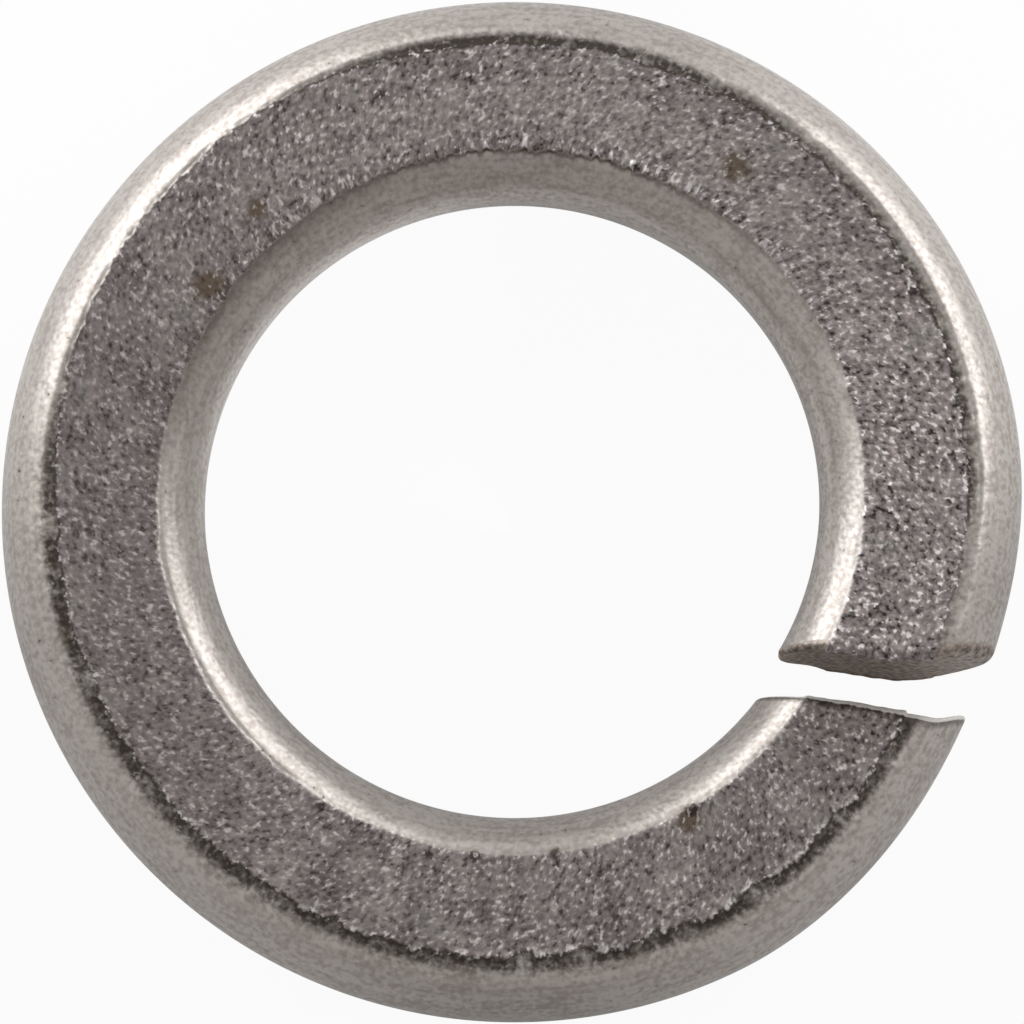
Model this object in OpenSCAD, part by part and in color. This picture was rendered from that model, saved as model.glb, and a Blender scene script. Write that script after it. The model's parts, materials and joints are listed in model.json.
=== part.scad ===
// Helical spring lock washer for a 1/2 inch screw: one left-hand turn of rolled stainless wire, cut through once.
// Millimetres. The coil's axis is Z, and the lowest point of the coil lies at z = 0.

/* [Coil] */
// Diameter of the bore that the screw passes through
bore_d = 13.15; // [12.4:0.05:14]
// Width of the wire's section, from the bore to the rim
section_w = 4.35; // [3.8:0.05:5.2]
// Thickness of the wire's section, along the axis
section_t = 3.2; // [2.8:0.05:3.6]
// Climb of the coil in one full turn
coil_pitch = 2.75; // [1.5:0.05:2.9]

/* [Rounded sides] */
// Width of each rounded side, seen along the axis
side_round = 0.89; // [0.6:0.01:1.1]
// Height of the straight band along the middle of the bore side
bore_land = 0.8; // [0.5:0.05:1.2]

/* [Flat faces] */
// Height of each flat face above the rounded sides that it ends at
face_step = 0.05; // [0.02:0.01:0.1]
// Width of the groove between a flat face and the outer side
groove_w = 0.26; // [0.16:0.02:0.4]
// Depth of that groove below the flat face
groove_d = 0.12; // [0.1:0.01:0.2]

/* [Split] */
// Width of the gap, square to the two cut faces
gap_w = 0.68; // [0.3:0.02:1.2]
// Place of the gap, as an angle about the axis from +X
gap_angle = -26.8; // [-180:0.1:180]
// Angle between the cut and the radius where it crosses the middle of the section
cut_skew = 18.5; // [0:0.5:24]
// How far the high end's cut falls back at the rim
high_corner = 0.46; // [0:0.02:0.5]
// Width of the section over which it falls back
high_corner_w = 2.1; // [1:0.05:3]
// How far the low end's cut stands forward at the rim
low_corner = 0.44; // [0:0.02:0.5]
// Width of the section over which it stands forward
low_corner_w = 0.9; // [0.6:0.05:1.5]
// How far the high end's cut stands forward at the bore
high_tip = 0.12; // [0:0.02:0.24]
// Width of the section over which it stands forward there
high_tip_w = 0.7; // [0.5:0.05:1.5]
// Size of the worn edge round each cut face
end_edge = 0.08; // [0.04:0.02:0.2]
// How far the rim draws in at the low end
low_tuck = 0.28; // [0:0.02:0.4]
// How far the rim draws in at the high end
high_tuck = 0.12; // [0:0.02:0.4]
// Length of coil over which each end draws in, as an angle about the axis
tuck_arc = 34; // [15:1:60]

/* [Smoothness] */
// Steps round the coil
coil_steps = 120; // [96:8:144]
// Steps over each rounded side
side_steps = 10; // [8:2:12]

/* [Hidden] */

bore_r = bore_d / 2;
rim_r = bore_r + section_w;
mid_r = bore_r + section_w / 2;
side_h = section_t / 2 - face_step;
face_out = section_w - side_round;
step_run = face_step;
// Plan direction of the cuts, and the middle of the gap's distance from the axis
cut_dir = gap_angle + cut_skew;
cut_offset = -mid_r * sin(cut_skew);
low_angle = low_cut(mid_r);
high_angle = high_cut(mid_r);
coil_arc = low_angle - high_angle;
edge_arc = end_edge / mid_r * 180 / PI;
// Angle of coil over which its rings turn from square to the cuts
skew_arc = 30;
// The coil climbs from the outer edge of the low end's flat face, its lowest point
start_angle = low_cut(bore_r + face_out - groove_w);
coil_h = section_t + coil_pitch;
// How far the bore's cutting cylinder runs past the coil
cut_margin = 1;
// Sides of the bore's cutting cylinder
bore_sides = 180;

function ease(t) = let (s = max(0, min(1, t))) s * s * (3 - 2 * s);

// Angles about the axis at which the two cuts meet radius r
function low_cut(r) =
    let (forward = low_corner * ease((r - rim_r + low_corner_w) / low_corner_w))
    cut_dir + asin((cut_offset - gap_w / 2 + forward) / r);
function high_cut(r) =
    let (
        back = high_corner * ease((r - rim_r + high_corner_w) / high_corner_w),
        forward = high_tip * ease(1 - (r - bore_r) / high_tip_w)
    )
    cut_dir + asin((cut_offset + gap_w / 2 + back - forward) / r) - 360;

// Share of an end's own shape that is left after some angle of coil
function end_share(travel, arc) = ease(1 - travel / arc);

// Upper half of a rounded side, one arc from its middle to the flat face, as [depth from the side, height].
// Where a straight band is to be cut along its middle, the arc bulges past the side.
function side_arc(band) =
    let (
        centre = (side_round * side_round + side_h * side_h - band * band / 4) / (2 * side_round),
        r = norm([centre, band / 2]),
        steps = side_steps / 2
    )
    [for (i = [0:steps]) let (a = asin(side_h / r) * i / steps) [centre - r * cos(a), r * sin(a)]];

// Upper half of the section from the bore side's middle to the rim, as [distance from the bore, height]
top_face = [
    [side_round + step_run, section_t / 2],
    [face_out - groove_w, section_t / 2],
    [face_out - groove_w / 2, section_t / 2 - groove_d]
];
rim_arc = side_arc(0);
rim_side = [for (i = [len(rim_arc) - 1:-1:0]) [section_w - rim_arc[i][0], rim_arc[i][1]]];
upper = concat(side_arc(bore_land), top_face, rim_side);
half_n = len(upper);

// The whole outline: the upper half, then its reflection below without the two shared points
outline = concat(upper, [for (i = [half_n - 2:-1:1]) [upper[i][0], -upper[i][1]]]);
outline_n = len(outline);

// The outline drawn in by a worn edge on all sides
function worn(edge) = [
    for (p = outline)
        [edge + p[0] * (1 - 2 * edge / section_w), p[1] * (1 - 2 * edge / section_t)]
];

// Distance that the rim has drawn in where the coil has turned this far from its low end
function tuck(travel) =
    low_tuck * end_share(travel, tuck_arc) + high_tuck * end_share(coil_arc - travel, tuck_arc);

// Angle about the axis of the point at radius r: square to the coil, and turned to the cuts at the two ends
function point_angle(travel, r) =
    low_angle - travel
    + end_share(travel, skew_arc) * (low_cut(r) - low_angle)
    + end_share(coil_arc - travel, skew_arc) * (high_cut(r) - high_angle);

function coil_point(p, travel) =
    let (
        r = bore_r + p[0] * (1 - tuck(travel) / section_w),
        a = point_angle(travel, r)
    )
    [r * cos(a), r * sin(a), section_t / 2 + p[1] + coil_pitch * (start_angle - a) / 360];

function ring(travel, edge) = [for (p = worn(edge)) coil_point(p, travel)];

// Faces of an end, as upright strips that join the outline's upper and lower points
function cap(first, flip) = [
    for (i = [0:half_n - 2])
        let (
            n = outline_n,
            corners = [i, i + 1, n - i - 1, (n - i) % n],
            strip = i == 0 ? [0, 1, n - 1] : i == half_n - 2 ? [i, i + 1, i + 2] : corners
        )
        [for (k = [0:len(strip) - 1]) first + strip[flip ? len(strip) - 1 - k : k]]
];

module coil() {
    inner_arc = coil_arc - 2 * edge_arc;
    points = concat(
        ring(0, end_edge),
        [for (k = [0:coil_steps]) each ring(edge_arc + inner_arc * k / coil_steps, 0)],
        ring(coil_arc, end_edge)
    );
    last = coil_steps + 2;
    skin = [
        for (k = [0:last - 1], i = [0:outline_n - 1])
            let (
                a = k * outline_n + i,
                b = k * outline_n + (i + 1) % outline_n,
                c = b + outline_n,
                d = a + outline_n
            )
            each [[a, b, c], [a, c, d]]
    ];
    polyhedron(points = points, faces = concat(skin, cap(0, true), cap(last * outline_n, false)));
}

module lock_washer() {
    color("#8b8480")
    difference() {
        coil();
        translate([0, 0, -cut_margin])
            rotate([0, 0, gap_angle])
            cylinder(h = coil_h + 2 * cut_margin, r = bore_r, $fn = bore_sides);
    }
}

lock_washer();
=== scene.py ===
"""A helical spring lock washer of rolled stainless wire, on a pale floor under two softboxes."""

import json
import logging
import math
from dataclasses import dataclass
from enum import Enum
from functools import partial, reduce

import bpy
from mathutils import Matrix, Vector


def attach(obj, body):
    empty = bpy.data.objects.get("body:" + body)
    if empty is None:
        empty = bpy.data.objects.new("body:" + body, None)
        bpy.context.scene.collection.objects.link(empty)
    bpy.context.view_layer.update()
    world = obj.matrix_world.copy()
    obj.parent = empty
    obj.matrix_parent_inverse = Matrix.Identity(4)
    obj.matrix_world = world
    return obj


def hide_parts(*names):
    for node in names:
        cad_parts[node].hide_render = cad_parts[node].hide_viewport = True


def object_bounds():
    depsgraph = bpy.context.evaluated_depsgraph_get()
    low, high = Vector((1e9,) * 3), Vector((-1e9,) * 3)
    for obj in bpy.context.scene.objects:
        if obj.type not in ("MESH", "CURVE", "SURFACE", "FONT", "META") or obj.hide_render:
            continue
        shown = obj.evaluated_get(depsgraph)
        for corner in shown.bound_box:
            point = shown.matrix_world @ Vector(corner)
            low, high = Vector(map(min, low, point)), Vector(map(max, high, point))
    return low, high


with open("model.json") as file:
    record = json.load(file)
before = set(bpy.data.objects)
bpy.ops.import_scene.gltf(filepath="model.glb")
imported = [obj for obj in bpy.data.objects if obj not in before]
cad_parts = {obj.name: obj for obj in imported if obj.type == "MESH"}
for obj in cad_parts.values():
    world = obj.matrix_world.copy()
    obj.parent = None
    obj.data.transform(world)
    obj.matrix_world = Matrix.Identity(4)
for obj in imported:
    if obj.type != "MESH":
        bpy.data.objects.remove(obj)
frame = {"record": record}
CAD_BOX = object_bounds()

LOG = logging.getLogger("washer")
NODE = "lock_washer"
# A millimetre in metres, and the millimetres in a metre
MM = 0.001
METRE = 1000.0
FULL_TURN = math.tau
# How far apart the layers of noise lie, in millimetres
LAYER_GAP = 37.3

Colour = tuple[float, float, float]
BLACK: Colour = (0.0, 0.0, 0.0)
WHITE: Colour = (1.0, 1.0, 1.0)


class Noise(Enum):
    """A noise: features per millimetre, its own layer, and the number and strength of finer layers."""

    TEETH = (4.8, 1.0, 2.0, 0.6)
    JAGS = (3.4, 2.0, 2.0, 0.7)
    WAVES = (1.1, 3.0, 1.0, 0.5)
    STREAKS = (2.9, 8.0, 1.0, 0.5)
    RIBS = (4.4, 9.0, 1.0, 0.5)
    LUMPS = (3.0, 10.0, 1.0, 0.5)
    SWELL = (0.7, 11.0, 2.0, 0.5)
    GRAIN = (8.8, 20.0, 1.0, 0.5)
    SPARKS = (11.0, 21.0, 1.0, 0.5)
    GRIME = (7.6, 22.0, 1.0, 0.5)
    DENTS = (9.0, 25.0, 0.0, 0.5)
    MOTTLE = (1.15, 26.0, 2.0, 0.6)
    DRAWN = (6.5, 28.0, 1.0, 0.5)


class Stretch(Enum):
    """A stretch of the coil: the direction of its middle and how far it fades to each side, in degrees."""

    FAR = (85.0, 80.0)
    NEAR = (-80.0, 75.0)
    TOP = (90.0, 42.0)
    RIGHT = (-2.0, 45.0)
    LEFT = (200.0, 45.0)
    CORNER = (140.0, 42.0)
    TAIL = (-14.0, 16.0)


class Term:
    """A number socket of a node tree that Python's operators work on."""

    def __init__(self, graph: "Graph", socket: bpy.types.NodeSocket) -> None:
        """Keeps the tree's writer and the socket."""
        self.graph = graph
        self.socket = socket

    def __add__(self, other: "Term | float") -> "Term":
        """Adds with a Math node."""
        return self.graph.math("ADD", self, other)

    def __sub__(self, other: "Term | float") -> "Term":
        """Subtracts with a Math node."""
        return self.graph.math("SUBTRACT", self, other)

    def __rsub__(self, other: float) -> "Term":
        """Subtracts this term from a number."""
        return self.graph.math("SUBTRACT", other, self)

    def __mul__(self, other: "Term | float") -> "Term":
        """Multiplies with a Math node."""
        return self.graph.math("MULTIPLY", self, other)

    def __truediv__(self, other: "Term | float") -> "Term":
        """Divides with a Math node."""
        return self.graph.math("DIVIDE", self, other)

    def __gt__(self, other: "Term | float") -> "Term":
        """Gives 1 where this term is the greater."""
        return self.graph.math("GREATER_THAN", self, other)

    __radd__ = __add__
    __rmul__ = __mul__


Value = Term | float


class Graph:
    """Writes nodes into a tree, from Python expressions."""

    def __init__(self, tree: bpy.types.NodeTree, drift: Value = 0.0) -> None:
        """Starts from an empty tree.

        Args:
            tree: The tree.
            drift: A seed that shifts all its noise.
        """
        self.tree = tree
        self.drift = drift
        tree.nodes.clear()

    def node(
        self,
        kind: str,
        settings: dict[str, object] | None = None,
        sockets: dict[str | int, object] | None = None,
        out: str | int = 0,
    ) -> Term:
        """Makes one node of any type.

        Args:
            kind: The node's type.
            settings: Its properties, set first.
            sockets: Values or Terms by socket identifier or index.
            out: The output that the result stands for.

        Returns:
            The chosen output as a Term, or the first input of a node that has no outputs.
        """
        made = self.tree.nodes.new(kind)
        for name, setting in (settings or {}).items():
            setattr(made, name, setting)
        for key, value in (sockets or {}).items():
            socket = self._find(made.inputs, key)
            if isinstance(value, Term):
                self.tree.links.new(value.socket, socket)
            else:
                socket.default_value = value
        outputs = made.outputs
        return Term(self, self._find(outputs, out)) if len(outputs) else Term(self, made.inputs[0])

    @staticmethod
    def _find(sockets: bpy.types.bpy_prop_collection, key: str | int) -> bpy.types.NodeSocket:
        """Finds a socket by its place or its identifier.

        Args:
            sockets: The node's inputs or outputs.
            key: An index or an identifier.

        Returns:
            The socket.
        """
        if isinstance(key, int):
            return sockets[key]
        return next(s for s in sockets if s.identifier == key)

    def math(self, operation: str, *values: Value) -> Term:
        """Makes a Math node of one operation on its values."""
        return self.node("ShaderNodeMath", {"operation": operation}, dict(enumerate(values)))

    def sin(self, value: Value) -> Term:
        """Gives the sine of an angle in radians."""
        return self.math("SINE", value)

    def cos(self, value: Value) -> Term:
        """Gives the cosine of an angle in radians."""
        return self.math("COSINE", value)

    def clamp(self, value: Term) -> Term:
        """Limits a term to the range from 0 to 1."""
        return self.node("ShaderNodeClamp", {}, {0: value})

    def step(self, low: Value, high: Value, value: Term) -> Term:
        """Rises smoothly from 0 to 1 as a value passes from one limit to another.

        Args:
            low: The value that gives 0.
            high: The value that gives 1.
            value: The term that is compared.

        Returns:
            The smooth step.
        """
        settings = {"interpolation_type": "SMOOTHSTEP"}
        return self.node("ShaderNodeMapRange", settings, {0: value, 1: low, 2: high})

    def band(self, rise: tuple[Value, Value], fall: tuple[Value, Value], value: Term) -> Term:
        """Rises smoothly from 0 to 1 over one range of a value and falls back to 0 over another.

        Args:
            rise: The limits of the range in which it rises.
            fall: The limits of the range in which it falls.
            value: The term that is compared.

        Returns:
            The band.
        """
        return self.step(*rise, value) * (1.0 - self.step(*fall, value))

    def vector(self, x: Value, y: Value, z: Value) -> Term:
        """Joins three values to a vector."""
        return self.node("ShaderNodeCombineXYZ", {}, {0: x, 1: y, 2: z})

    def split(self, vector: Term) -> tuple[Term, Term, Term]:
        """Splits a vector.

        Args:
            vector: The vector.

        Returns:
            Its three parts.
        """
        x = self.node("ShaderNodeSeparateXYZ", {}, {0: vector})
        outputs = x.socket.node.outputs
        return x, Term(self, outputs[1]), Term(self, outputs[2])

    def noise(self, place: Term, kind: Noise) -> Term:
        """Gives smooth noise around 0, mostly within -1 and 1.

        Args:
            place: Where it is read, in millimetres.
            kind: The kind of noise.

        Returns:
            The noise.
        """
        scale, layer, detail, rough = kind.value
        away = self.drift + layer * LAYER_GAP
        away = self.vector(away, away, away) if isinstance(away, Term) else (away, away, away)
        moved = self.node("ShaderNodeVectorMath", {"operation": "ADD"}, {0: place, 1: away})
        sockets = {"Vector": moved, "Scale": scale, "Detail": detail, "Roughness": rough}
        return self.node("ShaderNodeTexNoise", {"noise_dimensions": "3D"}, sockets) * 4.0 - 2.0

    def flat(self, plan: Term) -> Term:
        """Gives a point's place seen along the axis."""
        return self.node("ShaderNodeVectorMath", {"operation": "MULTIPLY"}, {0: plan, 1: (1.0, 1.0, 0.0)})

    def heading(self, plan: Term) -> Term:
        """Gives the direction of a point from the axis, as a unit vector square to it."""
        return self.node("ShaderNodeVectorMath", {"operation": "NORMALIZE"}, {0: self.flat(plan)})

    def toward(self, heading: Term, degrees: float, spread: float) -> Term:
        """Tells how near a heading is to one direction.

        Args:
            heading: The direction of a point from the axis.
            degrees: The direction it is compared with, as an angle about the axis.
            spread: The angle between them at which the result reaches 0.

        Returns:
            1 in that direction, falling smoothly to 0.
        """
        angle = math.radians(degrees)
        middle = (math.cos(angle), math.sin(angle), 0.0)
        settings = {"operation": "DOT_PRODUCT"}
        lean = self.node("ShaderNodeVectorMath", settings, {0: heading, 1: middle}, "Value")
        return self.step(math.cos(math.radians(spread)), 1.0, lean)

    def plan(self, kind: str, out: str | int) -> Term:
        """Gives the point's own place in millimetres, read from one type of node."""
        here = self.node(kind, {}, {}, out)
        return self.node("ShaderNodeVectorMath", {"operation": "SCALE"}, {0: here, "Scale": METRE})

    def mix(self, share: Value, low: "Term | Colour", high: "Term | Colour") -> Term:
        """Mixes two colours.

        Args:
            share: 0 gives the first colour and 1 the second.
            low: The first colour.
            high: The second colour.

        Returns:
            The mixed colour.
        """
        ends = [end if isinstance(end, Term) else (*end, 1.0) for end in (low, high)]
        sockets = {"Factor_Float": share, "A_Color": ends[0], "B_Color": ends[1]}
        return self.node("ShaderNodeMix", {"data_type": "RGBA"}, sockets, "Result_Color")


@dataclass(frozen=True)
class CoilPlace:
    """A point of the coil, as terms of one tree, in millimetres."""

    across: Term
    along: Term
    height: Term
    end: Term
    plan: Term


@dataclass(frozen=True)
class MarkSet:
    """Masks of the rolled marks at one point, most from 0 to 1. Core and shade are deposit and stain with
    painted shade, line and notch_shade are painted shade, and chip_glints are painted glints. Streaks and
    grime are noise around 0.
    """

    face: Term
    groove: Term
    core: Term
    shade: Term
    line: Term
    chip_glints: Term
    notch_shade: Term
    ridge: Term
    streaks: Term
    busy: Term
    grime: Term
    far: Term


class MarkReader:
    """Works out the masks of the rolled marks at one point of the coil."""

    def __init__(self, sizes: "RolledMarks", graph: Graph, place: CoilPlace) -> None:
        """Reads the noises and the edges that the masks share.

        Args:
            sizes: The sizes of the marks.
            graph: The tree's writer.
            place: The point of the coil.
        """
        self.sizes = sizes
        self.graph = graph
        self.place = place
        self.across = place.across
        self.whole = 1.0 - place.end
        heading = graph.heading(place.plan)
        shares = [graph.toward(heading, *stretch.value) for stretch in Stretch]
        self.far, self.near, self.top, self.right, self.left, self.corner, self.tail = shares
        self.south = graph.clamp(self.near + self.left)
        self.cut_in = graph.clamp(self.far + self.corner * 0.8)
        run = graph.vector(place.along, place.across * sizes.tooth_run, place.height)
        self.teeth = graph.noise(run, Noise.TEETH)
        self.jags = graph.noise(run, Noise.JAGS)
        self.waves = graph.noise(run, Noise.WAVES)
        self.grime = graph.noise(place.plan, Noise.GRIME)
        self.open_groove = graph.step(-1.1, 0.15, self.jags + self.waves * 0.6)
        self.inner = self._inner_edge()
        self.start = self._outer_edge()
        self.stop = self._groove_end()
        self.rise = (self.inner - sizes.inner_soft, self.inner + sizes.inner_soft)
        self.drop = (self.start - sizes.outer_soft, self.start + sizes.outer_soft)

    def masks(self) -> MarkSet:
        """Works out all the masks.

        Returns:
            The masks.
        """
        graph = self.graph
        face = graph.band(self.rise, self.drop, self.across) * self.whole
        chip_glints, notch_shade = self._edge_glints_and_notch_shade()
        return MarkSet(
            face=face,
            groove=self._groove(),
            core=self._core(),
            shade=self._shade(),
            line=self._line(),
            chip_glints=chip_glints,
            notch_shade=notch_shade * face,
            ridge=self._ridge() * face,
            streaks=self._streaks() * face,
            busy=graph.clamp(self.right + self.far * 0.35 + self.near * 0.22 - self.left * 0.1),
            grime=self.grime,
            far=self.far,
        )

    def _inner_edge(self) -> Term:
        """Tells how far from the bore the flat face starts, with the longest teeth on the far side.

        Returns:
            The distance.
        """
        reach = self.far * self.sizes.tooth + self.sizes.least_tooth
        wander = self.waves * 0.03 + self.left * 0.05 + self.south * 0.03
        return self.teeth * reach + wander + self.sizes.inner_line

    def _outer_edge(self) -> Term:
        """Tells how far from the bore the flat face ends and the groove starts.

        Returns:
            The distance.
        """
        jagged = self.jags * (self.near * 0.03 + self.sizes.jag)
        wander = self.waves * (self.near * 0.05 + 0.04) + self.top * 0.03 + self.corner * 0.16
        edge = jagged + wander + self.sizes.outer_line
        return self.graph.math("MINIMUM", edge, self.sizes.rim_line - self.sizes.outer_soft)

    def _groove_end(self) -> Term:
        """Tells how far from the bore the groove ends."""
        spread = self.south * 0.155 + self.top * 0.13 + self.grime * 0.03
        return spread + (self.sizes.rim_line - self.sizes.groove_slope)

    def _groove(self) -> Term:
        """Masks the groove's depth, which is less where the groove is worn away.

        Returns:
            The mask.
        """
        fade = (self.stop - 0.05, self.stop + self.sizes.groove_fade)
        depth = (self.open_groove * 0.7 + 0.3) * (1.0 - self.corner * 0.8) * (1.0 - self.tail * 0.75)
        return self.graph.band(self.drop, fade, self.across) * depth * self.whole

    def _core(self) -> Term:
        """Masks the groove's dark filling, partly real deposit and partly painted shade of the recess.

        Returns:
            The mask.
        """
        rise = (self.start - 0.11, self.start - 0.02)
        fall = (self.stop - 0.12, self.stop + 0.15)
        broken = self.jags * 0.2 + self.grime * 0.2 + self.open_groove * 0.2 + self.top * 0.14 + 0.7
        kept = self.graph.clamp(broken) * (1.0 - self.tail * 0.45) * (1.0 - self.corner * 0.25)
        return self.graph.band(rise, fall, self.across) * kept * self.whole

    def _shade(self) -> Term:
        """Masks the stain and painted shade that spread from the groove over the rounded side, stronger on
        the near and left sides.

        Returns:
            The mask.
        """
        fade = (self.sizes.rim_line - 0.1, self.sizes.rim_line + self.sizes.stain_and_shade_width)
        blotch = self.graph.clamp(self.waves * 0.5 + self.grime * 0.35 + 0.5)
        strength = (self.south * 0.45 - self.top * 0.12 + 0.25) * (1.0 - self.corner * 0.7)
        return self.graph.band(self.drop, fade, self.across) * blotch * strength * self.whole

    def _line(self) -> Term:
        """Masks the painted shade along the flat face's inner edge: a soft shade over the rounded side and a
        thin dark line, strongest on the far side, and a darker band on the face at the corner.

        Returns:
            The mask.
        """
        graph = self.graph
        soft = graph.band((self.inner - self.sizes.soft_shade_width, self.inner), self.rise, self.across)
        soft = soft * (self.cut_in * 0.3 + self.corner * 0.35)
        thin = graph.band((self.inner - 0.14, self.inner - 0.05), self.rise, self.across)
        dashes = graph.clamp(self.teeth * 0.4 + 0.65) * (1.0 - graph.clamp(self.left + self.corner) * 0.8)
        thin = thin * dashes * (self.cut_in * 0.3 + self.top * 0.35 + 0.15)
        # Painted shade on the face beside the inner edge, at the corner.
        worn = graph.band(self.rise, (self.inner, self.inner + self.sizes.face_shade_width), self.across)
        worn = worn * graph.clamp(0.4 - self.grime) * self.corner
        return (soft + thin + worn * 0.7) * self.whole

    def _edge_glints_and_notch_shade(self) -> tuple[Term, Term]:
        """Masks the painted glints on the chipped outer edge and on the inner edge's teeth, and the painted
        shade in the notches between the teeth.

        Returns:
            The painted glints and the painted notch shade.
        """
        graph = self.graph
        torn = self.near * graph.step(0.0, 0.6, self.jags) * 0.6
        torn = graph.clamp(graph.step(0.2, 0.8, 0.0 - self.grime) + torn)
        # Painted glints on the chipped outer edge.
        lip = (self.start - self.sizes.lip_width, self.start - 0.08)
        lip = graph.band(lip, (self.start - 0.05, self.start), self.across)
        lip = lip * torn * (self.near * 0.7 + self.right * 0.3 + self.left * 0.5 + 0.15)
        # Painted glints on the inner edge's teeth, with painted shade in the notches.
        edge = graph.band(self.rise, (self.inner + 0.1, self.inner + self.sizes.tooth_edge_width), self.across)
        edge = edge * (self.far * 0.85 + self.right * 0.35)
        notch_shade = graph.step(0.1, 0.75, 0.0 - self.teeth) * edge
        return (lip + edge * graph.step(0.15, 0.7, self.teeth) * 0.8) * self.whole, notch_shade

    def _ridge(self) -> Term:
        """Masks the smooth low ridge along the middle of the far side.

        Returns:
            The mask.
        """
        rise = (self.sizes.ridge_in - 0.25, self.sizes.ridge_in)
        fall = (self.sizes.ridge_out, self.sizes.ridge_out + 0.3)
        return self.graph.band(rise, fall, self.across) * self.far

    def _streaks(self) -> Term:
        """Gives the noise of the streaks across the face, strongest on the near side."""
        run = self.graph.vector(self.place.along, self.across * self.sizes.streak_run, self.place.height)
        return self.graph.noise(run, Noise.STREAKS) * (self.near * 0.8 + 0.2)


@dataclass(frozen=True)
class RolledMarks:
    """Marks that rolling left on the flat faces, and the grooves beside them, in millimetres.

    Each run is how much of the distance across the section counts in a noise that is drawn out across it.
    """

    inner_line: float
    outer_line: float
    rim_line: float
    face_rise: float
    groove_drop: float
    seed: float = 4.0
    tooth: float = 0.05
    least_tooth: float = 0.022
    jag: float = 0.07
    ridge_in: float = 1.45
    ridge_out: float = 2.15
    inner_soft: float = 0.04
    outer_soft: float = 0.03
    groove_slope: float = 0.13
    groove_fade: float = 0.3
    stain_and_shade_width: float = 0.38
    soft_shade_width: float = 0.6
    face_shade_width: float = 0.4
    lip_width: float = 0.2
    tooth_edge_width: float = 0.34
    tooth_run: float = 0.35
    streak_run: float = 0.16
    rib_run: float = 0.22
    rib_height: float = 0.03
    least_rib_height: float = 0.008
    lump_height: float = 0.007
    busy_lump_height: float = 0.012
    swell_height: float = 0.01
    streak_height: float = 0.012
    ridge_height: float = 0.012

    def read(self, graph: Graph, place: CoilPlace) -> MarkSet:
        """Works out all masks at a point."""
        return MarkReader(self, graph, place).masks()

    def relief(self, graph: Graph, place: CoilPlace) -> Term:
        """Gives the height of the surface over the smooth section.

        Args:
            graph: The tree's writer.
            place: The point of the coil.

        Returns:
            The height, in millimetres.
        """
        marks = self.read(graph, place)
        run = graph.vector(place.along, place.across * self.rib_run, place.height)
        near_bore = 1.0 - graph.step(self.inner_line + 0.12, self.inner_line + 0.7, place.across)
        ribs = graph.noise(run, Noise.RIBS) * near_bore
        ribs = ribs * (marks.far * self.rib_height + self.least_rib_height)
        lumps = graph.noise(place.plan, Noise.LUMPS) * (marks.busy * self.busy_lump_height + self.lump_height)
        swell = graph.noise(place.plan, Noise.SWELL) * self.swell_height
        drawn = marks.streaks * self.streak_height + marks.ridge * self.ridge_height
        raised = ribs + lumps + swell + drawn + self.face_rise
        return marks.face * raised - marks.groove * self.groove_drop


class Mark(Enum):
    """What a single spot on the top face is."""

    RUST = "rust"
    PIT = "pit"


@dataclass(frozen=True)
class Spot:
    """A single spot: its kind, angle about the axis in degrees, distance from the axis and size in mm."""

    kind: Mark
    angle: float
    radius: float
    size: float


SPOTS = (
    Spot(Mark.RUST, 144.5, 7.95, 0.42),
    Spot(Mark.RUST, 56.0, 8.55, 0.38),
    Spot(Mark.RUST, 299.5, 7.75, 0.36),
    Spot(Mark.RUST, 131.0, 8.3, 0.22),
    Spot(Mark.PIT, 300.5, 7.6, 0.17),
    Spot(Mark.PIT, 277.0, 7.55, 0.15),
    Spot(Mark.PIT, 264.0, 7.6, 0.13),
    Spot(Mark.PIT, 256.5, 7.75, 0.12),
    Spot(Mark.PIT, 238.0, 7.7, 0.11),
    Spot(Mark.PIT, 27.0, 9.6, 0.14),
)


@dataclass(frozen=True)
class Flecks:
    """The fine speckle at one point: its noise, where it is bright, and the masks of glints and specks."""

    grain: Term
    bright: Term
    glint: Term
    speck: Term


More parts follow.
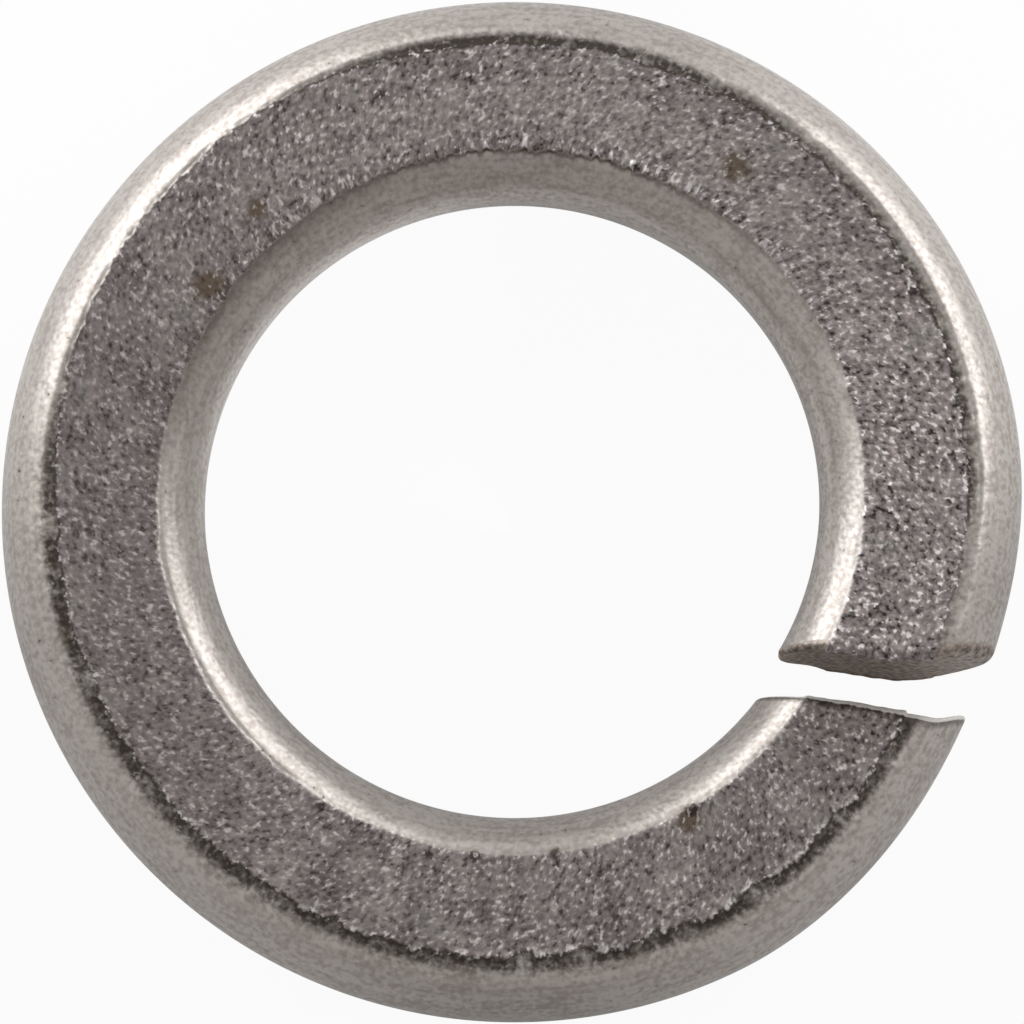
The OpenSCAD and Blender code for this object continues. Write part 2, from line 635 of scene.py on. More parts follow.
@dataclass(frozen=True)
class Steel:
    """Finish of the rolled stainless wire: smooth rounded sides and rough dark flat faces."""

    marks: RolledMarks
    length: float
    name: str = "rolled_stainless"
    side_colour: Colour = (0.600, 0.556, 0.518)
    side_dull: Colour = (0.430, 0.380, 0.350)
    face_dark: Colour = (0.098, 0.083, 0.080)
    face_pale: Colour = (0.470, 0.410, 0.400)
    face_green: Colour = (0.236, 0.240, 0.222)
    glint_colour: Colour = (0.92, 0.88, 0.865)
    speck_colour: Colour = (0.026, 0.020, 0.017)
    groove_colour: Colour = (0.042, 0.031, 0.022)
    inner_shade_colour: Colour = (0.078, 0.058, 0.047)
    shade_colour: Colour = (0.125, 0.106, 0.078)
    rust_colour: Colour = (0.115, 0.080, 0.048)
    end_dark: Colour = (0.120, 0.094, 0.074)
    end_pale: Colour = (0.560, 0.480, 0.425)
    edge_highlight_colour: Colour = (0.760, 0.730, 0.690)
    end_shade_reach: float = 0.3
    end_shade_fade: float = 0.08
    side_rough: float = 0.36
    face_rough: float = 0.50
    groove_rough: float = 0.80
    glint_smooth: float = 0.12
    grain_rough: float = 0.04
    end_shade_rough: float = 0.16
    edge_highlight_rough: float = 0.3
    dent_height: float = 0.0042
    side_dents: float = 0.286

    def build(self) -> bpy.types.Material:
        """Makes the material.

        Returns:
            The steel, read from the coil's own attributes and from Object coordinates.
        """
        material = bpy.data.materials.new(self.name)
        material.use_nodes = True
        graph = Graph(material.node_tree, self.marks.seed)
        place = self._place(graph)
        marks = self.marks.read(graph, place)
        mottle = graph.noise(place.plan, Noise.MOTTLE)
        flecks = self._flecks(graph, place, marks, mottle)
        # The groove's dark deposit, with painted shade of the recess.
        dirt_and_shade = marks.core * (0.96 - flecks.bright * 0.5) * (1.0 - marks.chip_glints)
        colour = self._bare_colour(graph, place, marks, flecks.grain, mottle)
        colour = self._marked_colour(graph, marks, flecks, dirt_and_shade, colour)
        colour, end_rough, edge_highlight = self._ends(graph, place, marks, colour, flecks.grain)
        rough = flecks.grain * self.grain_rough + self.side_rough
        rough = rough + marks.face * (self.face_rough - self.side_rough) - flecks.glint * self.glint_smooth
        rough = rough + dirt_and_shade * (self.groove_rough - self.side_rough) + end_rough
        metallic = (1.0 - graph.clamp(dirt_and_shade + flecks.speck * 0.6) * 0.6) * (1.0 - edge_highlight)
        bump = self._bump(graph, place)
        sockets = {"Base Color": colour, "Metallic": metallic, "Roughness": rough, "Normal": bump}
        shader = graph.node("ShaderNodeBsdfPrincipled", {}, sockets)
        graph.node("ShaderNodeOutputMaterial", {}, {"Surface": shader})
        return material

    @staticmethod
    def _flecks(graph: Graph, place: CoilPlace, marks: MarkSet, mottle: Term) -> Flecks:
        """Makes the fine speckle of the rough faces from the sum and the difference of two noises.

        Args:
            graph: The material's writer.
            place: The point of the coil.
            marks: The masks there.
            mottle: Broad patches, some of them calmer.

        Returns:
            The speckle.
        """
        lean = place.along - place.across * 0.3
        grain = graph.noise(graph.vector(lean, place.across * 0.9, place.height), Noise.GRAIN)
        sparks = graph.noise(graph.vector(lean, place.across * 0.8, place.height), Noise.SPARKS)
        calm = graph.clamp(graph.step(0.0, 0.8, mottle) * 0.45 + marks.ridge * 0.35)
        lively = marks.face * (1.0 - calm)
        bright = graph.step(0.26, 1.05, (grain + sparks) * 0.75)
        glint = graph.clamp(bright * lively * (marks.busy * 0.6 + 0.36) + marks.chip_glints * 0.8)
        speck = graph.step(0.3, 1.05, (sparks - grain) * 0.75) * lively * (marks.busy * 0.35 + 0.62)
        return Flecks(grain, bright, glint, speck)

    def _marked_colour(
        self, graph: Graph, marks: MarkSet, flecks: Flecks, dirt_and_shade: Term, colour: Term
    ) -> Term:
        """Lays specks, pits and the notches' painted shade, the inner line's painted shade, the groove's
        deposit with painted shade, and the glints over the bare colour.

        Args:
            graph: The material's writer.
            marks: The masks at the point.
            flecks: The fine speckle.
            dirt_and_shade: The mask of the groove's deposit and painted shade.
            colour: The bare colour.

        Returns:
            The colour.
        """
        pits = graph.step(1.0, 1.25, marks.grime) * (1.0 - marks.face) * 0.65
        # Specks and pits, with the painted shade of the notches between the teeth.
        colour = graph.mix(graph.clamp(flecks.speck + pits + marks.notch_shade * 0.75), colour, self.speck_colour)
        # Painted shade along the flat face's inner edge.
        colour = graph.mix(marks.line * (1.0 - marks.chip_glints), colour, self.inner_shade_colour)
        # The groove's deposit with painted shade.
        colour = graph.mix(dirt_and_shade, colour, self.groove_colour)
        return graph.mix(flecks.glint, colour, self.glint_colour)

    def _bump(self, graph: Graph, place: CoilPlace) -> Term:
        """Dents the surface finely, most on the flat faces.

        Args:
            graph: The material's writer.
            place: The point of the coil.

        Returns:
            The normal.
        """
        marks = self.marks
        rise = (marks.inner_line - marks.inner_soft, marks.inner_line + marks.inner_soft)
        fall = (marks.outer_line - marks.inner_soft, marks.outer_line + marks.inner_soft)
        strength = graph.band(rise, fall, place.across) * (1.0 - self.side_dents) + self.side_dents
        dents = graph.noise(place.plan, Noise.DENTS) * self.dent_height
        return graph.node("ShaderNodeBump", {}, {"Strength": strength, "Distance": MM, "Height": dents})

    def _ends(
        self, graph: Graph, place: CoilPlace, marks: MarkSet, colour: Term, grain: Term
    ) -> tuple[Term, Term, Term]:
        """Colours the cut ends: brown painted shade over both cut faces and the high end's last stretch off
        the flat faces, and a painted highlight along the low end's edge with painted shade beyond it.

        Args:
            graph: The material's writer.
            place: The point of the coil.
            marks: The masks there.
            colour: The colour of the coil there.
            grain: The fine grain.

        Returns:
            The colour, what the ends add to the roughness, and the mask of the painted highlight.
        """
        scale_start = self.length - self.end_shade_reach
        # The high end's last stretch off the flat faces gets brown painted shade.
        high = graph.step(scale_start, scale_start + self.end_shade_fade, place.along + marks.grime * 0.06)
        high = high * (1.0 - marks.face)
        # Brown painted shade for the cut faces and the high end's last stretch.
        scale = graph.mix(graph.clamp(marks.grime * 0.6 + 0.45), self.end_dark, self.end_pale)
        cut = graph.math("MAXIMUM", high, place.end)
        colour = graph.mix(cut * 0.92, colour, scale)
        # A painted highlight along the low end's edge.
        width = place.across * 0.017 + grain * 0.012 + 0.03
        edge_highlight = 1.0 - graph.step(width, width + 0.03, place.along)
        # Painted shade just beyond the painted highlight.
        under = graph.band((width, width + 0.03), (width + 0.05, width + 0.2), place.along)
        colour = graph.mix(under * 0.55, colour, self.groove_colour)
        edge_highlight = edge_highlight * (1.0 - place.end)
        colour = graph.mix(edge_highlight, colour, self.edge_highlight_colour)
        return colour, cut * self.end_shade_rough + edge_highlight * self.edge_highlight_rough, edge_highlight

    def _bare_colour(
        self, graph: Graph, place: CoilPlace, marks: MarkSet, grain: Term, mottle: Term
    ) -> Term:
        """Mixes the colours of the rounded sides and the rough faces.

        Args:
            graph: The material's writer.
            place: The point of the coil.
            marks: The masks there.
            grain: The face's fine grain.
            mottle: Broad patches.

        Returns:
            The colour before specks, glints and grooves.
        """
        tone = grain * (marks.busy * 0.22 + 0.26) + mottle * 0.14 + marks.streaks * 0.18
        tone = tone + marks.ridge * 0.1 + marks.busy * 0.14 + 0.40
        face = graph.mix(graph.clamp(tone), self.face_dark, self.face_pale)
        face = graph.mix(graph.step(0.0, 1.0, mottle) * 0.4, face, self.face_green)
        drawn = graph.vector(place.along * 0.1, place.across, place.height)
        drawn = graph.noise(drawn, Noise.DRAWN)
        fine = grain * (marks.busy * 0.4 + 0.25)
        cloud = graph.clamp(mottle * 0.2 + marks.grime * 0.6 + drawn * 0.4 + fine + 0.4)
        side = graph.mix(cloud, self.side_colour, self.side_dull)
        # The stain beside the groove, with painted shade.
        side = graph.mix(marks.shade, side, self.shade_colour)
        colour = graph.mix(marks.face, side, face)
        ragged = mottle * 0.35 + marks.grime * 0.6
        for kind, strength, tint in ((Mark.RUST, 0.75, self.rust_colour), (Mark.PIT, 0.8, self.speck_colour)):
            colour = graph.mix(self._spots(graph, place, kind, ragged) * strength, colour, tint)
        return colour

    @staticmethod
    def _spots(graph: Graph, place: CoilPlace, kind: Mark, ragged: Term) -> Term:
        """Masks all spots of one kind on the top face.

        Args:
            graph: The material's writer.
            place: The point of the coil.
            kind: The kind of spot.
            ragged: Noise that makes their edges uneven.

        Returns:
            The mask.
        """
        flat = graph.flat(place.plan)
        distances = []
        for spot in (spot for spot in SPOTS if spot.kind is kind):
            angle = math.radians(spot.angle)
            middle = (spot.radius * math.cos(angle), spot.radius * math.sin(angle), 0.0)
            settings = {"operation": "DISTANCE"}
            away = graph.node("ShaderNodeVectorMath", settings, {0: flat, 1: middle}, "Value")
            distances.append(away / spot.size)
        nearest = reduce(partial(graph.math, "MINIMUM"), distances)
        return graph.step(1.2, 0.45, nearest + ragged * 0.5) * (place.height > 0.0)

    @staticmethod
    def _place(graph: Graph) -> CoilPlace:
        """Reads where a shaded point lies on the coil.

        Args:
            graph: The material's writer.

        Returns:
            The point of the coil.
        """
        stored = graph.node("ShaderNodeAttribute", {"attribute_name": Coil.PLACE}, {}, "Vector")
        end = graph.node("ShaderNodeAttribute", {"attribute_name": Coil.END}, {}, "Fac")
        across, along, height = graph.split(stored)
        return CoilPlace(across, along, height, end, graph.plan("ShaderNodeTexCoord", "Object"))


class TreeInputs:
    """Named inputs of a geometry tree, with the values that a piece gives them."""

    def __init__(self, graph: Graph) -> None:
        """Starts with the tree's group input node."""
        self.graph = graph
        self.values: dict[str, object] = {}

    def add(self, name: str, value: float | int | bpy.types.Material) -> Term:
        """Adds one named input.

        Args:
            name: Its name in plain words.
            value: The value that the piece gives it.

        Returns:
            The input as a Term.
        """
        kinds = {float: "NodeSocketFloat", int: "NodeSocketInt"}
        kind = kinds.get(type(value), "NodeSocketMaterial")
        socket = self.graph.tree.interface.new_socket(name, in_out="INPUT", socket_type=kind)
        self.values[socket.identifier] = value
        return self.graph.node("NodeGroupInput", {}, {}, socket.identifier)


@dataclass
class Coil:
    """One turn of rolled wire, swept by a geometry tree. Sizes in millimetres and degrees."""

    bore_radius: float
    width: float = 4.35
    thickness: float = 3.2
    pitch: float = 2.75
    side_round: float = 0.89
    bore_land: float = 0.8
    face_step: float = 0.05
    groove_width: float = 0.26
    groove_depth: float = 0.12
    gap: float = 0.68
    gap_angle: float = -26.8
    cut_skew: float = 18.5
    skew_arc: float = 30.0
    high_corner: float = 0.46
    high_corner_width: float = 2.1
    low_corner: float = 0.44
    low_corner_width: float = 0.9
    high_tip: float = 0.12
    high_tip_width: float = 0.7
    low_tuck: float = 0.28
    high_tuck: float = 0.12
    tuck_arc: float = 34.0
    low_edge: float = 0.12
    high_edge: float = 0.2
    rings: int = 720
    points: int = 136
    end_rings: int = 14
    edge_rings: int = 7
    top_share: float = 0.58
    inner_share: float = 0.14
    outer_share: float = 0.16
    whole_section: float = 0.999
    merge_distance: float = 0.0005

    PLACE = "coil_place"
    END = "coil_end"

    @property
    def rim_radius(self) -> float:
        """Radius of the rim."""
        return self.bore_radius + self.width

    @property
    def mid_radius(self) -> float:
        """Radius of the middle of the section."""
        return self.bore_radius + self.width / 2

    @property
    def side_height(self) -> float:
        """Height of the rounded sides' ends over the middle of the section."""
        return self.thickness / 2 - self.face_step

    @property
    def face_out(self) -> float:
        """Distance from the bore to the outer rounded side."""
        return self.width - self.side_round

    @property
    def cut_direction(self) -> float:
        """Plan direction of the two cuts, in degrees."""
        return self.gap_angle + self.cut_skew

    @property
    def cut_offset(self) -> float:
        """Distance from the axis to the middle of the gap's line."""
        return -self.mid_radius * math.sin(math.radians(self.cut_skew))

    @staticmethod
    def _ease(share: float) -> float:
        """Smooth step of a share that is first limited to 0 and 1."""
        held = max(0.0, min(1.0, share))
        return held * held * (3 - 2 * held)

    def low_cut(self, radius: float) -> float:
        """Tells where the low end's cut meets a radius.

        Args:
            radius: The radius.

        Returns:
            The angle about the axis, in radians.
        """
        forward = self.low_corner * self._ease((radius - self.rim_radius) / self.low_corner_width + 1)
        offset = self.cut_offset - self.gap / 2 + forward
        return math.radians(self.cut_direction) + math.asin(offset / radius)

    def high_cut(self, radius: float) -> float:
        """Tells where the high end's cut meets a radius, one turn below the low end's.

        Args:
            radius: The radius.

        Returns:
            The angle about the axis, in radians.
        """
        back = self.high_corner * self._ease((radius - self.rim_radius) / self.high_corner_width + 1)
        forward = self.high_tip * self._ease(1 - (radius - self.bore_radius) / self.high_tip_width)
        offset = self.cut_offset + self.gap / 2 + back - forward
        return math.radians(self.cut_direction) + math.asin(offset / radius) - FULL_TURN

    @property
    def length(self) -> float:
        """Length of the coil along the middle of its section."""
        return (self.low_cut(self.mid_radius) - self.high_cut(self.mid_radius)) * self.mid_radius

    def marks(self) -> RolledMarks:
        """Gives the rolled marks that fit this section."""
        return RolledMarks(
            inner_line=self.side_round + self.face_step,
            outer_line=self.face_out - self.groove_width,
            rim_line=self.face_out,
            face_rise=self.face_step,
            groove_drop=self.groove_depth - self.face_step,
        )

    def build(self, steel: bpy.types.Material, marks: RolledMarks) -> bpy.types.Object:
        """Makes the coil as a plain mesh.

        Args:
            steel: The finish.
            marks: The marks of the rolled faces.

        Returns:
            The finished piece, at the origin.
        """
        tree = bpy.data.node_groups.new("coil_tree", "GeometryNodeTree")
        graph = Graph(tree)
        inputs = TreeInputs(graph)
        swept = self._sweep(graph, inputs, marks, steel)
        tree.interface.new_socket("Washer", in_out="OUTPUT", socket_type="NodeSocketGeometry")
        graph.node("NodeGroupOutput", {}, {0: swept})
        piece = bpy.data.objects.new("rolled_coil", bpy.data.meshes.new("rolled_coil"))
        bpy.context.scene.collection.objects.link(piece)
        modifier = piece.modifiers.new("coil", "NODES")
        modifier.node_group = tree
        for identifier, value in inputs.values.items():
            modifier[identifier] = value
        depsgraph = bpy.context.evaluated_depsgraph_get()
        mesh = bpy.data.meshes.new_from_object(
            piece.evaluated_get(depsgraph), preserve_all_data_layers=True, depsgraph=depsgraph
        )
        piece.modifiers.remove(modifier)
        piece.data = mesh
        mesh.name = "rolled_coil"
        return piece

    def _sweep(
        self, graph: Graph, inputs: TreeInputs, marks: RolledMarks, steel: bpy.types.Material
    ) -> Term:
        """Writes the tree that bends a flat grid into the coil.

        Args:
            graph: The tree's writer.
            inputs: The tree's named inputs.
            marks: The marks of the rolled faces.
            steel: The finish.

        Returns:
            The finished geometry.
        """
        rings = inputs.add("Rings", self.rings)
        points = inputs.add("Section Points", self.points)
        bore = inputs.add("Bore Radius", self.bore_radius)
        width = inputs.add("Section Width", self.width)
        thickness = inputs.add("Section Thickness", self.thickness)
        pitch = inputs.add("Pitch", self.pitch)
        seed = inputs.add("Seed", marks.seed)
        sizes = {"Size X": 1.0, "Size Y": 1.0, "Vertices X": rings + 1.0, "Vertices Y": points + 1.0}
        grid = graph.node("GeometryNodeMeshGrid", {}, sizes)
        u, v, _ = graph.split(graph.node("GeometryNodeInputPosition"))
        ring = (u + 0.5) * rings
        along, inset, cap = self._march(graph, ring, rings)
        across, height = self._section(graph, v + 0.5)
        across = inset + across * (1.0 - inset * 2.0 / width)
        height = height * (1.0 - inset * 2.0 / thickness)
        x, y, z = self._wind(graph, inputs, along, width / 2.0 + (across - width / 2.0) * cap, bore, width)
        z = z * pitch / FULL_TURN + thickness / 2.0 + height * cap
        spot = graph.vector(x * MM, y * MM, z * MM)
        end = 1.0 - graph.step(0.0, 0.5, 1.0 - inset / self.high_edge) * (cap > self.whole_section)
        place = graph.vector(across, along, height)
        marked = self._store(graph, grid, self.PLACE, "FLOAT_VECTOR", place)
        marked = self._store(graph, marked, self.END, "FLOAT", end)
        wound = graph.node("GeometryNodeSetPosition", {}, {"Geometry": marked, "Position": spot})
        merge = {"Geometry": wound, "Distance": MM * self.merge_distance}
        closed = graph.node("GeometryNodeMergeByDistance", {}, merge)
        raised = self._raise(graph, closed, marks, seed)
        smooth = graph.node("GeometryNodeSetShadeSmooth", {}, {"Geometry": raised})
        real = graph.node("GeometryNodeRealizeInstances", {}, {"Geometry": smooth})
        finish = inputs.add("Steel", steel)
        return graph.node("GeometryNodeSetMaterial", {}, {"Geometry": real, "Material": finish})

    @staticmethod
    def _store(graph: Graph, shape: Term, name: str, kind: str, value: Term) -> Term:
        """Stores a named attribute on the points.

        Args:
            graph: The tree's writer.
            shape: The geometry.
            name: The attribute's name.
            kind: Its data type.
            value: Its value.

        Returns:
            The geometry with the attribute.
        """
        sockets = {"Geometry": shape, "Name": name, "Value": value}
        return graph.node("GeometryNodeStoreNamedAttribute", {"data_type": kind}, sockets)

    def _march(self, graph: Graph, ring: Term, rings: Term) -> tuple[Term, Term, Term]:
        """Spreads the rings over the two cut faces, their worn edges and the coil between.

        Args:
            graph: The tree's writer.
            ring: The ring's number.
            rings: The number of rings.

        Returns:
            The length of coil from the low end, how far the section draws in for the worn edge, and the
            share of the section's size that is left as a cut face closes.
        """
        quarter = math.pi / 2
        low_turn = graph.clamp((ring - self.end_rings) / self.edge_rings) * quarter
        high_turn = graph.clamp((rings - ring - self.end_rings) / self.edge_rings) * quarter
        spent = float(self.end_rings + self.edge_rings)
        run = graph.clamp((ring - spent) / (rings - 2 * spent))
        along = (
            (1.0 - graph.cos(low_turn)) * self.low_edge
            + run * (self.length - self.low_edge - self.high_edge)
            + graph.cos(high_turn) * self.high_edge
        )
        inset = (1.0 - graph.sin(low_turn)) * self.low_edge + (1.0 - graph.sin(high_turn)) * self.high_edge
        low_cap = graph.clamp(ring / self.end_rings)
        high_cap = graph.clamp((rings - ring) / self.end_rings)
        return along, inset, low_cap * high_cap

    def _section(self, graph: Graph, around: Term) -> tuple[Term, Term]:
        """Gives a point of the section's outline.

        Args:
            graph: The tree's writer.
            around: The share of the outline that is passed, from the middle of the bore side over the top.

        Returns:
            The distance from the bore and the height over the middle of the section.
        """
        bore_centre, bore_bulge = self._side_arc(self.bore_land)
        rim_centre, rim_bulge = self._side_arc(0.0)
        bore_span = math.asin(self.side_height / bore_bulge)
        rim_span = math.asin(self.side_height / rim_bulge)
        under = around > self.top_share
        side = 1.0 - under * 2.0
        top_way = around / self.top_share
        under_way = (1.0 - around) / (1.0 - self.top_share)
        way = top_way * (1.0 - under) + under_way * under
        bore_turn = graph.clamp(way / self.inner_share) * bore_span
        rim_turn = graph.clamp((1.0 - way) / self.outer_share) * rim_span
        flat = graph.clamp((way - self.inner_share) / (1.0 - self.inner_share - self.outer_share))
        across = (
            bore_centre
            - graph.cos(bore_turn) * bore_bulge
            + flat * (self.width - 2 * self.side_round)
            + graph.cos(rim_turn) * rim_bulge
            + (self.side_round - rim_centre)
        )
        full = bore_bulge * rim_bulge / self.side_height
        height = graph.sin(bore_turn) * graph.sin(rim_turn) * full * side
        return graph.math("MAXIMUM", across, 0.0), height

    def _side_arc(self, band: float) -> tuple[float, float]:
        """Gives the arc that a rounded side bulges along.

        Args:
            band: Height of the straight band that is cut along its middle.

        Returns:
            How deep in the section the arc's centre lies, and its radius.
        """
        deep = (self.side_round**2 + self.side_height**2 - band**2 / 4) / (2 * self.side_round)
        return deep, math.hypot(deep, band / 2)

    def _cut(self, graph: Graph, radius: Term, offset: Term) -> Term:
        """Gives the angle at which a cut at some offset from the axis meets a radius."""
        return graph.math("ARCSINE", offset / radius) + math.radians(self.cut_direction)

    def _wind(
        self, graph: Graph, inputs: TreeInputs, along: Term, across: Term, bore: Term, width: Term
    ) -> tuple[Term, Term, Term]:
        """Winds a point of the section about the axis.

        Args:
            graph: The tree's writer.
            inputs: The tree's named inputs.
            along: Length of coil from the low end.
            across: Distance from the bore.
            bore: The bore's radius.
            width: The section's width.

        Returns:
            The place in plan, and the angle that the coil has climbed through.
        """
        gap = inputs.add("Gap", self.gap)
        low_angle = self.low_cut(self.mid_radius)
        high_angle = self.high_cut(self.mid_radius)
        start = self.low_cut(self.bore_radius + self.face_out - self.groove_width)
        tuck_arc = math.radians(self.tuck_arc)
        skew_arc = math.radians(self.skew_arc)
        travel = along / self.mid_radius
        left = (low_angle - high_angle) - travel
        tuck = (1.0 - graph.step(0.0, tuck_arc, travel)) * self.low_tuck
        tuck = tuck + (1.0 - graph.step(0.0, tuck_arc, left)) * self.high_tuck
        radius = bore + across * (1.0 - tuck / width)
        rim = bore + width
        low_start = rim - self.low_corner_width
        forward = graph.step(low_start, rim, radius) * self.low_corner
        low = self._cut(graph, radius, forward - gap / 2.0 + self.cut_offset)
        high_start = rim - self.high_corner_width
        back = graph.step(high_start, rim, radius) * self.high_corner
        tip = (1.0 - graph.step(bore, bore + self.high_tip_width, radius)) * self.high_tip
        high = self._cut(graph, radius, back - tip + gap / 2.0 + self.cut_offset) - FULL_TURN
        low_share = 1.0 - graph.step(0.0, skew_arc, travel)
        high_share = 1.0 - graph.step(0.0, skew_arc, left)
        angle = low_angle - travel + low_share * (low - low_angle) + high_share * (high - high_angle)
        return radius * graph.cos(angle), radius * graph.sin(angle), start - angle

    def _raise(self, graph: Graph, shape: Term, marks: RolledMarks, seed: Term) -> Term:
        """Raises the rough faces and sinks the grooves along the surface's normal.

        Args:
            graph: The tree's writer.
            shape: The smooth coil.
            marks: The marks of the rolled faces.
            seed: The tree's seed.

        Returns:
            The coil with its relief.
        """
        kind = {"data_type": "FLOAT_VECTOR"}
        stored = graph.node("GeometryNodeInputNamedAttribute", kind, {"Name": self.PLACE})
        end = graph.node("GeometryNodeInputNamedAttribute", {"data_type": "FLOAT"}, {"Name": self.END})
        across, along, height = graph.split(stored)
        place = CoilPlace(across, along, height, end, graph.plan("GeometryNodeInputPosition", 0))
        graph.drift = seed
        rise = marks.relief(graph, place) * MM
        normal = graph.node("GeometryNodeInputNormal")
        offset = graph.node("ShaderNodeVectorMath", {"operation": "SCALE"}, {0: normal, "Scale": rise})
        return graph.node("GeometryNodeSetPosition", {}, {"Geometry": shape, "Offset": offset})


@dataclass(frozen=True)
class SoftboxSize:
    """Direction in degrees, size in metres and brightness of a softbox, where 1 is white."""

    azimuth: float
    tilt: float
    width: float
    height: float
    brightness: float


class Softbox(Enum):
    """The studio's softboxes, each named for its side of the picture."""

    UPPER_LEFT = SoftboxSize(137.5, 68.5, 0.29, 0.34, 2.0)
    UPPER_RIGHT = SoftboxSize(38.0, 63.5, 0.24, 0.28, 1.8)


@dataclass(frozen=True)
class Patch:
    """A patch where the mirrored floor is painted paler, as light, or darker, as shadow: direction and spread
    in degrees, and how much.
    """

    direction: float
    spread: float
    change: float


@dataclass(frozen=True)
class Studio:
    """The pale floor, the lamps and the camera."""

    floor_size: float = 4.0
    lamp_distance: float = 0.32
    lamp_colour: Colour = (0.95, 0.985, 1.0)
    camera_distance: float = 600.0
    camera_elevation: float = 81.6
    picture_width: float = 1024.0
    pixels_per_mm: float = 46.70
    centre_left: float = 0.25
    centre_up: float = 1.75
    sensor: float = 36.0
    floor_colour: float = 0.92
    floor_glow: float = 0.945
    mirrored_glow: float = 0.8
    hole_edge: float = 9.0
    rim_edge: float = 11.5
    hole_level: float = 0.5
    hole_patches: tuple[Patch, ...] = (Patch(140.0, 55.0, 0.4),)
    rim_level: float = 0.78
    rim_patches: tuple[Patch, ...] = (
        Patch(-90.0, 130.0, -0.4),
        Patch(140.0, 55.0, 0.22),
        Patch(36.0, 45.0, 0.2),
        Patch(228.0, 42.0, 0.12),
        Patch(316.0, 40.0, 0.14),
    )
    sky_colour: Colour = (1.0, 0.985, 0.97)
    sky_level: float = 0.545
    sky_behind: float = 0.25
    sky_aside: float = 0.05
    sky_near_corners: float = 0.13

    def build(self) -> None:
        """Makes the whole studio and points the camera at the washer."""
        self._floor()
        for box in Softbox:
            self._softbox(box.name.lower(), box.value)
        self._surroundings()
        self._camera()

    def _floor(self) -> None:
        """Lays the floor: white to the camera, and with painted light and shadow by direction where the metal
        mirrors it.
        """
        half = self.floor_size / 2
        mesh = bpy.data.meshes.new("floor")
        corners = [(-half, -half, 0.0), (half, -half, 0.0), (half, half, 0.0), (-half, half, 0.0)]
        mesh.from_pydata(corners, [], [(0, 1, 2, 3)])
        floor = bpy.data.objects.new("floor", mesh)
        bpy.context.scene.collection.objects.link(floor)
        material = bpy.data.materials.new("white_floor")
        material.use_nodes = True
        graph = Graph(material.node_tree)
        seen = graph.node("ShaderNodeLightPath", {}, {}, "Is Camera Ray")
        through = graph.node("ShaderNodeLightPath", {}, {}, "Is Transmission Ray")
        mirrored = graph.node("ShaderNodeLightPath", {}, {}, "Is Glossy Ray")
        seen = graph.math("MAXIMUM", seen, through)
        share = seen * self.floor_glow + mirrored * self.mirrored_glow
        # The level paints light and shadow on the floor, seen in the metal's reflections.
        level = self._floor_level(graph)
        colour = graph.mix(level, BLACK, (self.floor_colour,) * 3)
        matt = graph.node("ShaderNodeBsdfDiffuse", {}, {"Color": colour})
        shown = graph.mix(graph.math("MAXIMUM", level, seen), BLACK, WHITE)
        glow = graph.node("ShaderNodeEmission", {}, {"Color": shown, "Strength": 1.0})
        sockets = {0: share, "Shader": matt, "Shader_001": glow}
        mixed = graph.node("ShaderNodeMixShader", {}, sockets)
        graph.node("ShaderNodeOutputMaterial", {}, {"Surface": mixed})
        mesh.materials.append(material)

    def _floor_level(self, graph: Graph) -> Term:
        """Gives the floor's painted light and shadow where the metal mirrors it.

        Args:
            graph: The floor material's writer.

        Returns:
            The level, darkest toward the camera's side.
        """
        plan = graph.plan("ShaderNodeTexCoord", "Object")
        x, y, _ = graph.split(plan)
        beyond = graph.step(self.hole_edge, self.rim_edge, graph.math("SQRT", x * x + y * y))
        heading = graph.heading(plan)
        hole = self._patched(graph, heading, self.hole_level, self.hole_patches)
        rim = self._patched(graph, heading, self.rim_level, self.rim_patches)
        return graph.clamp(hole + beyond * (rim - hole))

    @staticmethod
    def _patched(graph: Graph, heading: Term, level: float, patches: tuple[Patch, ...]) -> Term:
        """Adds patches to a level.

        Args:
            graph: The floor material's writer.
            heading: The direction of the point from the axis.
            level: The level away from the patches.
            patches: The patches.

        Returns:
            The level there.
        """
        changes = [graph.toward(heading, each.direction, each.spread) * each.change for each in patches]
        return sum(changes, level)

    def _softbox(self, name: str, size: SoftboxSize) -> None:
        """Hangs one softbox, facing the washer.

        Args:
            name: Its name.
            size: Its direction, size and brightness.
        """
        data = bpy.data.lights.new(name, "AREA")
        data.shape = "RECTANGLE"
        data.size = size.width
        data.size_y = size.height
        data.energy = size.brightness * math.pi * size.width * size.height
        data.color = self.lamp_colour
        lamp = bpy.data.objects.new(name, data)
        azimuth = math.radians(size.azimuth)
        tilt = math.radians(size.tilt)
        way = Vector((math.sin(tilt) * math.cos(azimuth), math.sin(tilt) * math.sin(azimuth), math.cos(tilt)))
        lamp.location = way * self.lamp_distance
        lamp.rotation_euler = way.to_track_quat("Z", "Y").to_euler()
        lamp.visible_camera = False
        bpy.context.scene.collection.objects.link(lamp)

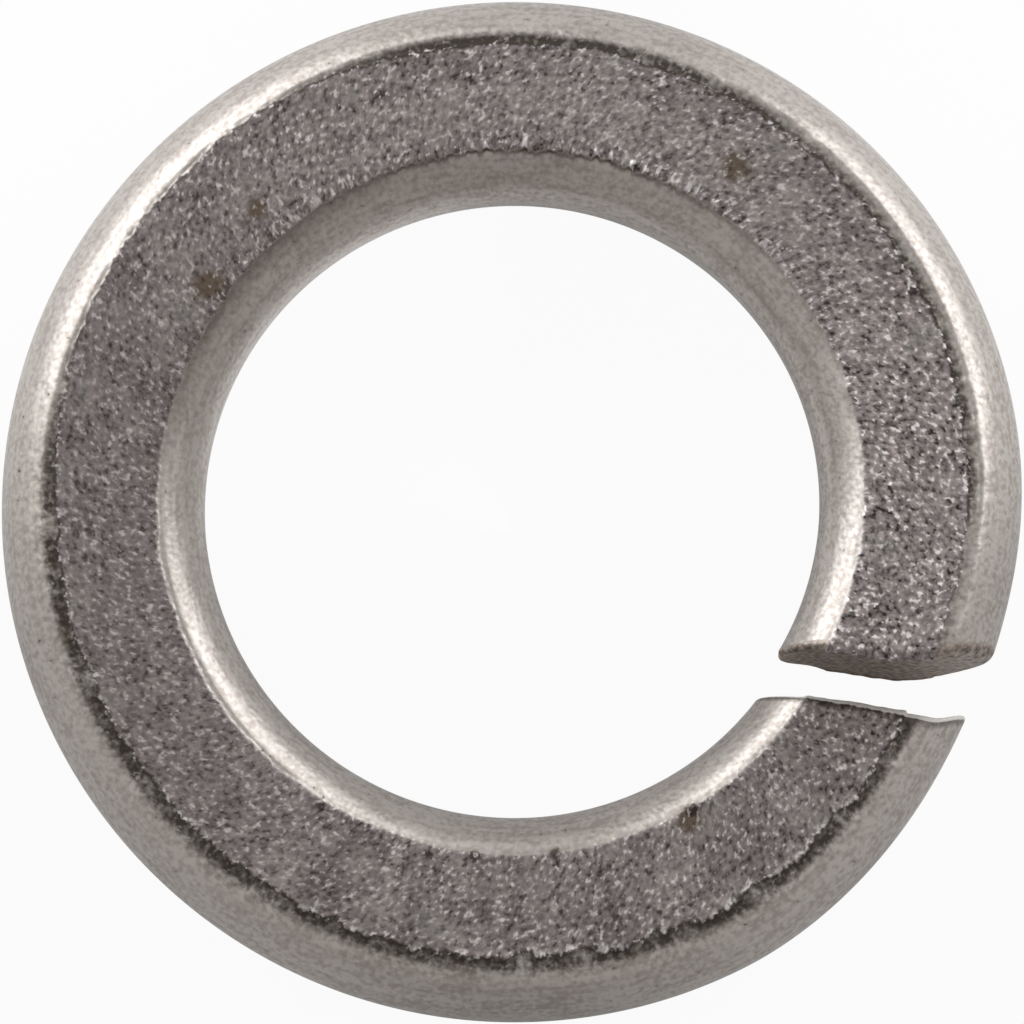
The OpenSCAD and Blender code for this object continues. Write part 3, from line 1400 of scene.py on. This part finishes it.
    def _surroundings(self) -> None:
        """Fills the studio with soft light, dimmer overhead and toward the camera's side."""
        world = bpy.data.worlds.new("studio")
        world.use_nodes = True
        graph = Graph(world.node_tree)
        way = graph.node("ShaderNodeTexCoord", {}, {}, "Generated")
        x, y, z = graph.split(way)
        aside = graph.math("ABSOLUTE", x)
        level = y * (1.0 - z) * self.sky_behind + aside * self.sky_aside + self.sky_level
        level = level + aside * graph.math("MAXIMUM", 0.0 - y, 0.0) * self.sky_near_corners
        tint = graph.mix(graph.clamp(level), BLACK, self.sky_colour)
        light = graph.node("ShaderNodeBackground", {}, {"Color": tint, "Strength": 1.0})
        graph.node("ShaderNodeOutputWorld", {}, {"Surface": light})
        bpy.context.scene.world = world

    def _camera(self) -> None:
        """Sets the camera, far off and almost overhead."""
        low, high = CAD_BOX
        elevation = math.radians(self.camera_elevation)
        back = Vector((0.0, -math.cos(elevation), math.sin(elevation)))
        up = Vector((0.0, math.sin(elevation), math.cos(elevation)))
        right = Vector((1.0, 0.0, 0.0))
        middle = Vector((0.0, 0.0, (low[2] + high[2]) / 2))
        shift = (right * self.centre_left - up * self.centre_up) / self.pixels_per_mm
        target = middle + shift * MM
        data = bpy.data.cameras.new("camera")
        data.sensor_width = self.sensor
        seen = self.picture_width / self.pixels_per_mm
        data.lens = self.sensor * self.camera_distance / seen
        data.clip_start = MM
        data.clip_end = self.floor_size
        camera = bpy.data.objects.new("camera", data)
        camera.location = target + back * self.camera_distance * MM
        camera.rotation_euler = back.to_track_quat("Z", "Y").to_euler()
        bpy.context.scene.collection.objects.link(camera)
        bpy.context.scene.camera = camera


@dataclass
class LockWasher:
    """The whole washer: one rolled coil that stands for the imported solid."""

    coil: Coil

    @classmethod
    def from_record(cls, record: dict) -> "LockWasher":
        """Takes the bore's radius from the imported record.

        Args:
            record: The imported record.

        Returns:
            The washer.
        """
        bore = next(mount for mount in record["mounts"] if mount["name"] == "bore")
        return cls(Coil(bore_radius=float(bore["dims"]["r_mm"])))

    def build(self) -> bpy.types.Object:
        """Makes the coil, dresses it and fixes it to the frame.

        Returns:
            The finished piece.
        """
        marks = self.coil.marks()
        steel = Steel(marks, length=self.coil.length).build()
        piece = self.coil.build(steel, marks)
        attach(piece, "root")
        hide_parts(NODE)
        return piece


def main() -> None:
    """Builds the studio and the washer in order."""
    logging.basicConfig(level=logging.INFO, format="%(name)s: %(message)s")
    bpy.context.scene.view_settings.view_transform = "Standard"
    Studio().build()
    LOG.info("studio: floor, softboxes, surroundings and camera")
    piece = LockWasher.from_record(frame["record"]).build()
    LOG.info("%s: %d points, %d faces", piece.name, len(piece.data.vertices), len(piece.data.polygons))


if __name__ == "__main__":
    main()
